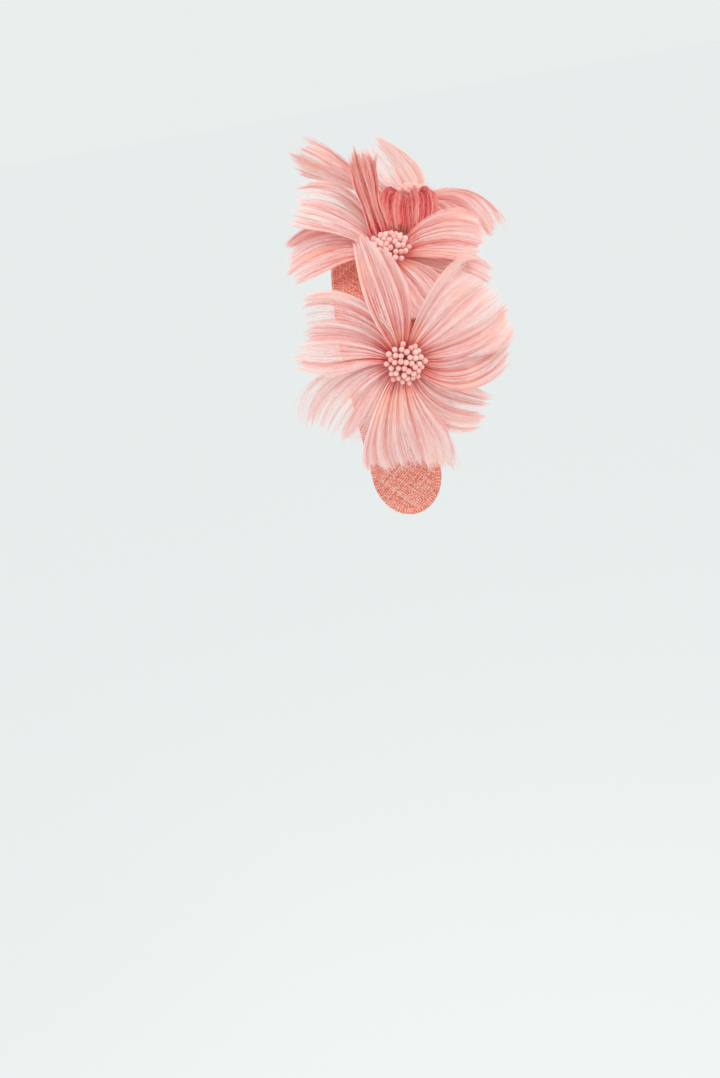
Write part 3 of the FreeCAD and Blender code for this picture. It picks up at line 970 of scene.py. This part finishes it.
class Petal:
    # the surface of one petal in its flower's frame; a runs from edge to edge, t from root to tip

    def __init__(self, values, seed):
        (self.turn, self.reach, elbowHeight, rise, share, swing, self.twist, self.width, self.row,
         self.tone, self.sheer, self.foldDepth, self.lockCount, self.slant, self.curl,
         sweep, drift, self.tipShare, self.flare) = values
        self.rng = random.Random(seed)
        self.root = np.array([bloom["rootRadius"], 0, self.row * bloom["rootStep"]])
        self.elbow = np.array([self.reach * share, -swing - sweep, elbowHeight])
        self.tip = np.array([self.reach, -drift, rise])
        uniform = self.rng.uniform
        deep = self.foldDepth * self.width / petalForm["foldWidth"]
        self.folds = [(often * uniform(0.85, 1.15), depth * deep, uniform(0, wholeWave),
                       uniform(-1, 1)) for often, depth in petalForm["folds"]]
        counts = (self.lockCount, self.lockCount * petalForm["fineLocks"])
        self.locks = [(count * uniform(0.9, 1.1), pull, uniform(0, wholeWave))
                      for count, pull in zip(counts, petalForm["lockPull"])]
        self.ragged = [(often, depth, uniform(0, wholeWave)) for often, depth in petalForm["ragged"]]
        self.length = self.spineLength()

    def spineLength(self):
        t = np.linspace(0, 1, 40)[:, None]
        spine = self.root * (1 - t) ** 2 + self.elbow * (2 * t * (1 - t)) + self.tip * t ** 2
        return float(np.linalg.norm(np.diff(spine, axis=0), axis=1).sum())

    def gathered(self, a, t):
        # fibres draw together into locks towards the tip
        pull = smoothStep(t, *petalForm["lockStart"])
        moved = a.copy()
        for count, strength, phase in self.locks:
            wave = np.sin(2 * math.pi * count * a + phase)
            moved = moved - pull * strength * wave / (2 * math.pi * count)
        return moved

    def density(self, a, t):
        # over 1 inside a lock, under 1 between two
        pull = smoothStep(t, *petalForm["lockStart"])
        spread = np.ones_like(a)
        for count, strength, phase in self.locks:
            spread = spread - pull * strength * np.cos(2 * math.pi * count * a + phase)
        return 1 / np.maximum(spread, 0.3)

    def thinness(self, a):
        # 0 in a full lock, 1 in the sheer cloth between two locks
        wave = math.pi * (petalForm["thinLocks"] * self.lockCount * a)
        return 0.5 + 0.5 * np.sin(wave + self.folds[1][2])

    def end(self, a):
        # where the cut end comes, as a share of the length
        out = 1 + self.slant * a - petalForm["cutBow"] * a * a
        for often, depth, phase in self.ragged:
            out = out + depth * np.sin(often * math.pi * a + phase)
        return out

    def foldWave(self, a, t, often, phase, drift):
        return np.sin(math.pi * often * a * petalForm["foldSpread"] + phase + drift * t)

    def surface(self, a, t, lift=0.0):
        a, t = np.broadcast_arrays(np.asarray(a, float), np.asarray(t, float))
        rest = (1 - t)[..., None]
        share = t[..., None]
        spine = self.root * rest ** 2 + self.elbow * (2 * rest * share) + self.tip * share ** 2
        along = (self.elbow - self.root) * rest + (self.tip - self.elbow) * share
        along /= np.linalg.norm(along, axis=-1, keepdims=True)
        turn = np.radians(self.twist * t)[..., None]
        across = np.array([0, 1.0, 0])
        side = (across * np.cos(turn) + np.cross(along, across) * np.sin(turn)
                + along * (along @ across)[..., None] * (1 - np.cos(turn)))
        side = side - along * np.sum(side * along, axis=-1, keepdims=True)
        side /= np.linalg.norm(side, axis=-1, keepdims=True)
        face = np.cross(along, side)
        opened = np.polyval(openingFit, np.minimum(t, 1.0))
        waist = smoothStep(t, 0.35 - 0.22 * self.flare, 1.0 - 0.3 * self.flare)
        opened = opened + (self.tipShare - 0.8) * waist
        width = bloom["rootWidth"] + (self.width - bloom["rootWidth"]) * opened
        moved = self.gathered(a, t)
        height = bloom["cup"] * width * moved ** 2
        grow = smoothStep(t, 0.0, 0.3) * 0.75 + 0.25
        for often, depth, phase, drift in self.folds:
            fade = 1 - smoothStep(t, 0.35, 1.0) * min(0.85, 0.12 * often)
            height = height + depth * grow * fade * self.foldWave(a, t, often, phase, drift)
        flutter = smoothStep(t, 0.55, 1.0) * petalForm["flutter"]
        height = height + flutter * np.sin(2.2 * a + self.folds[0][2])
        edge = smoothStep(np.abs(a), 0.7, 1.0) * smoothStep(t, 0.15, 0.6)
        height = height + self.curl * edge + lift
        return spine + side * (moved * width / 2)[..., None] + face * height[..., None], side

    def turned(self, points):
        angle = math.radians(-self.turn)
        cosine, sine = math.cos(angle), math.sin(angle)
        return points @ np.array([[cosine, sine, 0], [-sine, cosine, 0], [0, 0, 1]])

    def shade(self, a, t):
        # deeper at the root, painted shade down in the folds, paler towards the tip
        deep = petalForm["rootDeep"] * (1 - smoothStep(t, 0.04, 0.42))
        deep = deep - petalForm["tipPale"] * smoothStep(t, 0.45, 1.0)
        paintedFoldShade = np.zeros_like(a * t)
        for often, depth, phase, drift in self.folds[1:5]:
            paintedFoldShade = paintedFoldShade - petalForm["paintedFoldShade"] * self.foldWave(a, t, often, phase, drift)
        return np.clip(self.tone + deep + paintedFoldShade, 0, 1)


def makePetalSheet(name, petal, spec):
    rows, columns = petalForm["rows"], petalForm["columns"]
    a = np.linspace(-1, 1, columns)[None, :]
    share = np.linspace(0, 1, rows)[:, None]
    t = share * petal.end(a)
    a = np.broadcast_to(a, t.shape)
    points, side = petal.surface(a, t)
    points = placed(petal.turned(points.reshape(-1, 3)), spec)
    # how much the cloth hides: less in thin places, along the sides and at the cut end
    cover = 1.05 - petal.sheer * smoothStep(t, 0.2, 0.8) * (0.6 + 0.7 * petal.thinness(a))
    cover = cover + 0.35 * (petal.density(a, t) - 1)
    cover = cover - 0.25 * smoothStep(np.abs(a), 0.88, 1.0) * smoothStep(t, 0.2, 0.5)
    cover = cover - 0.35 * smoothStep(share + 0 * a, 0.93, 1.0)
    uv = np.stack([a * petal.width / 2 + petal.turn, t * petal.length], axis=-1).reshape(-1, 2)
    return buildPiece(name, points * mm, rowsToFaces(rows, columns), petalCloth, uv=uv,
                      tone=petal.shade(a, t).ravel(), cover=np.clip(cover, 0, 1.4).ravel())


def makePetalFibres(name, petal, spec):
    # single fibres that lie along the petal and fray past its cut end
    rng = petal.rng
    steps = fibre["steps"]
    count = int(petal.width * fibre["perMm"])
    points, faces, uvs, tones = [], [], [], []
    strays = fibre["tangled"].get(name, fibre["strays"])
    for index in range(count + strays):
        stray = index >= count
        fromRoot = rng.random() < fibre["fromRoot"]
        start = rng.uniform(*fibre["rootStart" if fromRoot else "lateStart"])
        a0 = rng.uniform(-1, 1)
        if rng.random() < fibre["onEdge"]:
            a0 = math.copysign(rng.uniform(*fibre["edge"]), a0)
        stop = float(petal.end(np.array(a0))) + rng.uniform(*fibre["past"])
        if not stray and rng.random() < petal.sheer * petal.thinness(a0):
            # the thin places keep few fibres out to the end
            start, stop = 0.0, rng.uniform(*fibre["thinStop"])
        wander = rng.uniform(-fibre["wander"], fibre["wander"])
        lift, fly = rng.uniform(*fibre["lift"]), rng.uniform(*fibre["fly"])
        width = rng.uniform(*fibre["width"])
        if stray:
            start = rng.uniform(*fibre["strayStart"])
            stop = stop + rng.uniform(*fibre["strayPast"])
            wander = rng.uniform(-fibre["strayWander"], fibre["strayWander"])
            lift, fly = fibre["strayLift"], rng.uniform(*fibre["strayFly"])
            width = fibre["strayWidth"]
            if name in fibre["tangled"]:        # short broken fibres that cross each other
                start = rng.uniform(*fibre["brokenStart"])
                stop = min(start + rng.uniform(*fibre["brokenLength"]), 1.0)
                wander = rng.uniform(-fibre["brokenWander"], fibre["brokenWander"])
                fly = rng.uniform(*fibre["brokenFly"])
        if rng.random() < fibre["below"]:
            lift = -lift
        t = np.linspace(start, stop, steps)
        part = (t - start) / (stop - start)
        a = a0 + wander * part ** 2 + 0.012 * np.sin(part * 9 + a0 * 20)
        a = np.clip(a, -fibre["reach"], fibre["reach"])
        a = a * (1 + petal.flare * smoothStep(t, 0.8, 1.05))
        height = lift + fly * smoothStep(part, 0.55, 1.0) ** 1.5
        centre, side = petal.surface(a, t, height)
        half = side * (width / 2 * np.minimum(1, 1.25 - part))[:, None]
        ribbon = np.stack([centre - half, centre + half], axis=1).reshape(-1, 3)
        faces.append(rowsToFaces(steps, 2, len(points) * 2 * steps))
        points.append(ribbon)
        shade = petal.shade(a, t) + rng.uniform(*fibre["tone"])
        # loose fibres painted paler: a painted highlight where they catch the light
        if stray:
            shade = shade - rng.uniform(*fibre["strayHighlight"])
        tones.append(np.repeat(np.clip(shade, 0, 1), 2))
        uv = np.stack([a * petal.width / 2, t * petal.length], axis=-1)
        uvs.append(np.repeat(uv, 2, axis=0))
    points = placed(petal.turned(np.concatenate(points)), spec)
    return buildPiece(name, points * mm, np.concatenate(faces), petalFibre,
                      uv=np.concatenate(uvs), tone=np.concatenate(tones))


def makePetals(flower, spec, seed):
    for number, (word, values) in enumerate(spec["petals"].items()):
        petal = Petal(values, seed * 100 + number)
        stem = flower + "".join(part.capitalize() for part in word.split("_"))
        sheet = makePetalSheet(stem + "Petal", petal, spec)
        fibres = makePetalFibres(stem + "Fibres", petal, spec)
        for piece in (sheet, fibres):
            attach(piece, spec["body"])
        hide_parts(flower + "_petal_" + word)
    print(flower, "petals made:", len(spec["petals"]))


def raiseRing(rise, scale=None):
    # draws the chosen ring of a mesh up in edit mode, then widens or narrows it
    bpy.ops.mesh.extrude_region_move(TRANSFORM_OT_translate={"value": (0, 0, rise * mm)})
    if scale:
        bpy.ops.transform.resize(value=(scale, scale, 1))


def makeStamen():
    # thread and drop-shaped head, drawn up ring by ring along +Z
    neck = bloom["stamenLength"] - bloom["headLength"]
    middle = (neck + bloom["stamenStart"]) / 2
    bpy.ops.mesh.primitive_cylinder_add(vertices=10, radius=bloom["threadRadius"] * mm,
                                        depth=(neck - bloom["stamenStart"]) * mm,
                                        end_fill_type="NGON", location=(0, 0, middle * mm))
    stamen = bpy.context.object
    bpy.ops.object.transform_apply(location=True)
    mesh = stamen.data
    for polygon in mesh.polygons:
        polygon.select = polygon.center.z > (neck - 0.01) * mm
    for vertex in mesh.vertices:
        vertex.select = vertex.co.z > (neck - 0.01) * mm
    for edge in mesh.edges:
        edge.select = all(mesh.vertices[v].select for v in edge.vertices)
    bpy.ops.object.mode_set(mode="EDIT")
    bpy.ops.mesh.select_mode(type="FACE")
    radius = bloom["threadRadius"]
    half = bloom["headWidth"] / 2
    height = 0.0
    for share, width in bloom["head"]:
        raiseRing(share * bloom["headLength"] - height, half * width / radius)
        radius, height = half * width, share * bloom["headLength"]
    raiseRing(bloom["headLength"] - height)
    bpy.ops.mesh.merge(type="CENTER")
    bpy.ops.mesh.select_all(action="SELECT")
    bpy.ops.mesh.normals_make_consistent(inside=False)
    bpy.ops.object.mode_set(mode="OBJECT")
    bpy.ops.object.shade_smooth()
    stamen.data.materials.append(stamenPaste)
    return stamen


def makeStamens(flower, spec, seed, pattern):
    rng = random.Random(seed)
    toWorld = flowerMatrix(spec)
    golden = math.pi * (3 - math.sqrt(5))       # even spacing over the dome
    cap = 1 - math.cos(math.radians(bloom["stamenSpread"]))
    neck = (bloom["stamenLength"] - bloom["headLength"]) * mm
    heights = [(vertex.co.z - neck) / (bloom["headLength"] * mm)
               for vertex in pattern.data.vertices]
    copies = []
    for index in range(bloom["stamens"]):
        tilt = math.acos(1 - cap * (index + 0.5) / bloom["stamens"]) * rng.uniform(0.96, 1.03)
        turn = golden * index + rng.uniform(-0.06, 0.06)
        copy = pattern.copy()
        copy.data = pattern.data.copy()
        bpy.context.scene.collection.objects.link(copy)
        fat, tall = rng.uniform(*bloom["stamenFat"]), rng.uniform(*bloom["stamenTall"])
        place = (Matrix.Translation((0, 0, -bloom["bindingDrop"] * mm))
                 @ Matrix.Rotation(turn, 4, "Z") @ Matrix.Rotation(tilt, 4, "Y")
                 @ Matrix.Diagonal((fat, fat, tall, 1)))
        copy.data.transform(toWorld @ place)
        # each head painted paler towards its top, a painted highlight, and its thread dark, painted
        # shade between the stamens
        shade = copy.data.attributes.new("tone", "FLOAT", "POINT")
        own = rng.uniform(*bloom["stamenTones"])
        shade.data.foreach_set("value", [own * min(1, max(0.0, 0.35 + 0.9 * height))
                                         for height in heights])
        copies.append(copy)
    bpy.ops.object.select_all(action="DESELECT")
    for copy in copies:
        copy.select_set(True)
    bpy.context.view_layer.objects.active = copies[0]
    bpy.ops.object.join()
    cluster = bpy.context.object
    cluster.name = flower + "Stamens"
    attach(cluster, spec["body"])
    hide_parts(flower + "_stamens")
    cluster.select_set(False)


def makeWinding(flower, spec):
    # dome of wound thread, each turn a small step in its outline
    bpy.ops.mesh.primitive_circle_add(vertices=40, radius=bloom["bindingRadius"] * mm,
                                      fill_type="NGON", location=(0, 0, 0))
    dome = bpy.context.object
    dome.name = flower + "Winding"
    bpy.ops.object.mode_set(mode="EDIT")
    bpy.ops.mesh.select_all(action="SELECT")
    radius, height = bloom["bindingRadius"], 0.0
    steps = bloom["windingTurns"] * 2
    for step in range(1, steps):
        angle = step / steps * math.pi / 2
        bulged = bloom["bindingRadius"] + bloom["windingBulge"][step % 2]
        newRadius, newHeight = bulged * math.cos(angle), bulged * math.sin(angle)
        raiseRing(newHeight - height, newRadius / radius)
        radius, height = newRadius, newHeight
    bpy.ops.mesh.select_all(action="SELECT")
    bpy.ops.mesh.normals_make_consistent(inside=False)
    bpy.ops.object.mode_set(mode="OBJECT")
    bpy.ops.object.shade_smooth()
    drop = Matrix.Translation((0, 0, -bloom["bindingDrop"] * mm))
    dome.data.transform(flowerMatrix(spec) @ drop)
    dome.data.materials.append(thread)
    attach(dome, spec["body"])
    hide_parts(flower + "_binding")
    dome.select_set(False)


seat = {
    # share of the radius, height
    "rings": ((0.04, 1.16), (0.3, 1.17), (0.62, 1.2), (0.86, 1.2), (0.95, 1.13), (1.0, 0.85),
              (1.01, 0.5), (1.0, 0.2), (0.96, 0.03), (0.6, 0.03), (0.04, 0.03)),
    "columns": 80, "waver": 0.012, "dimple": 0.05,
    "stitches": 16, "stitchFrom": 3.5, "stitchTo": 5.1, "stitchArch": 0.55, "stitchWidth": 0.42,
    "stitchHeight": 1.15, "stitchSlant": 0.12, "stitchSteps": 7,
}


def seatPlace(spec, radius, angle, height):
    # a place on or over the felt seat, measured along the straw from under the stem
    run = outerRadius * (math.pi / 2 - math.radians(spec["place"])) + radius * np.cos(angle)
    return bandPoint(run, spec["forward"] + radius * np.sin(angle), band["stack"] + height)


def makeSeat(flower, spec, seed):
    # felt disc with a soft cut edge, and the whip stitches that hold the stem to it
    rng = random.Random(seed)
    angle = np.linspace(0, 2 * math.pi, seat["columns"], endpoint=False)
    lean = [rng.uniform(0, wholeWave) for step in range(3)]
    waver = 1 + seat["waver"] * (np.sin(3 * angle + lean[0]) + 0.6 * np.sin(8 * angle + lean[1])
                                 + 0.4 * np.sin(19 * angle + lean[2]))
    points = []
    for share, height in seat["rings"]:
        uneven = seat["dimple"] * np.sin(5 * angle + 9 * share + lean[1]) if height > 1 else 0
        edge = waver if share > 0.9 else 1
        radius = bloom["padRadius"] * share * edge * 0.99
        points.append(seatPlace(spec, radius, angle, height - abs(uneven)))
    pad = buildPiece(flower + "FeltSeat", np.concatenate(points) * mm,
                     rowsToFaces(len(points), seat["columns"], closed=True), felt)
    startEdit(pad)
    bpy.ops.mesh.select_mode(type="VERT")
    bpy.ops.mesh.select_all(action="DESELECT")
    bpy.ops.mesh.select_non_manifold()
    bpy.ops.mesh.fill_holes(sides=0)
    endEdit(pad)
    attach(pad, "right_end" if flower == "low" else "crown")
    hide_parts(flower + "_pad")

    part = np.linspace(0, 1, seat["stitchSteps"])
    paths, widths, tones = [], [], []
    for count in range(seat["stitches"]):
        turn = 2 * math.pi * count / seat["stitches"] + rng.uniform(-0.06, 0.06)
        length = seat["stitchTo"] - seat["stitchFrom"] + rng.uniform(-0.2, 0.2)
        radius = seat["stitchFrom"] + length * part
        height = seat["stitchHeight"] + seat["stitchArch"] * np.sin(math.pi * part)
        centre = seatPlace(spec, radius, turn + seat["stitchSlant"] * part, height)
        normal = seatPlace(spec, radius, turn, height + 1) - seatPlace(spec, radius, turn, height)
        paths.append((centre, *directions(centre, normal)))
        widths.append(seat["stitchWidth"])
        tones.append(rng.uniform(0.3, 0.7))
    points, faces, shades = strands(paths, widths, seat["stitchWidth"] * 0.9, tones)
    sewn = buildPiece(flower + "WhipStitches", points * mm, faces, thread)
    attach(sewn, "right_end" if flower == "low" else "crown")
    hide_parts(flower + "_stitches")


stamenPattern = makeStamen()
for seed, (flower, spec) in enumerate(flowers.items(), 1):
    makeSeat(flower, spec, 40 + seed)
    makeWinding(flower, spec)
    makeStamens(flower, spec, seed, stamenPattern)
    makePetals(flower, spec, seed)
bpy.data.objects.remove(stamenPattern)


# carried-over nodes

nodeFinish = {
    "_foundation": buckram, "_spring": springSteel, "_rim_wire": wirePaper,
    "_stem": crepeTape, "_calyx": crepeTape,
}

for node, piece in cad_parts.items():
    for ending, material in nodeFinish.items():
        if node.endswith(ending):
            for slot in piece.material_slots:
                slot.material = material
print("carried-over nodes finished")
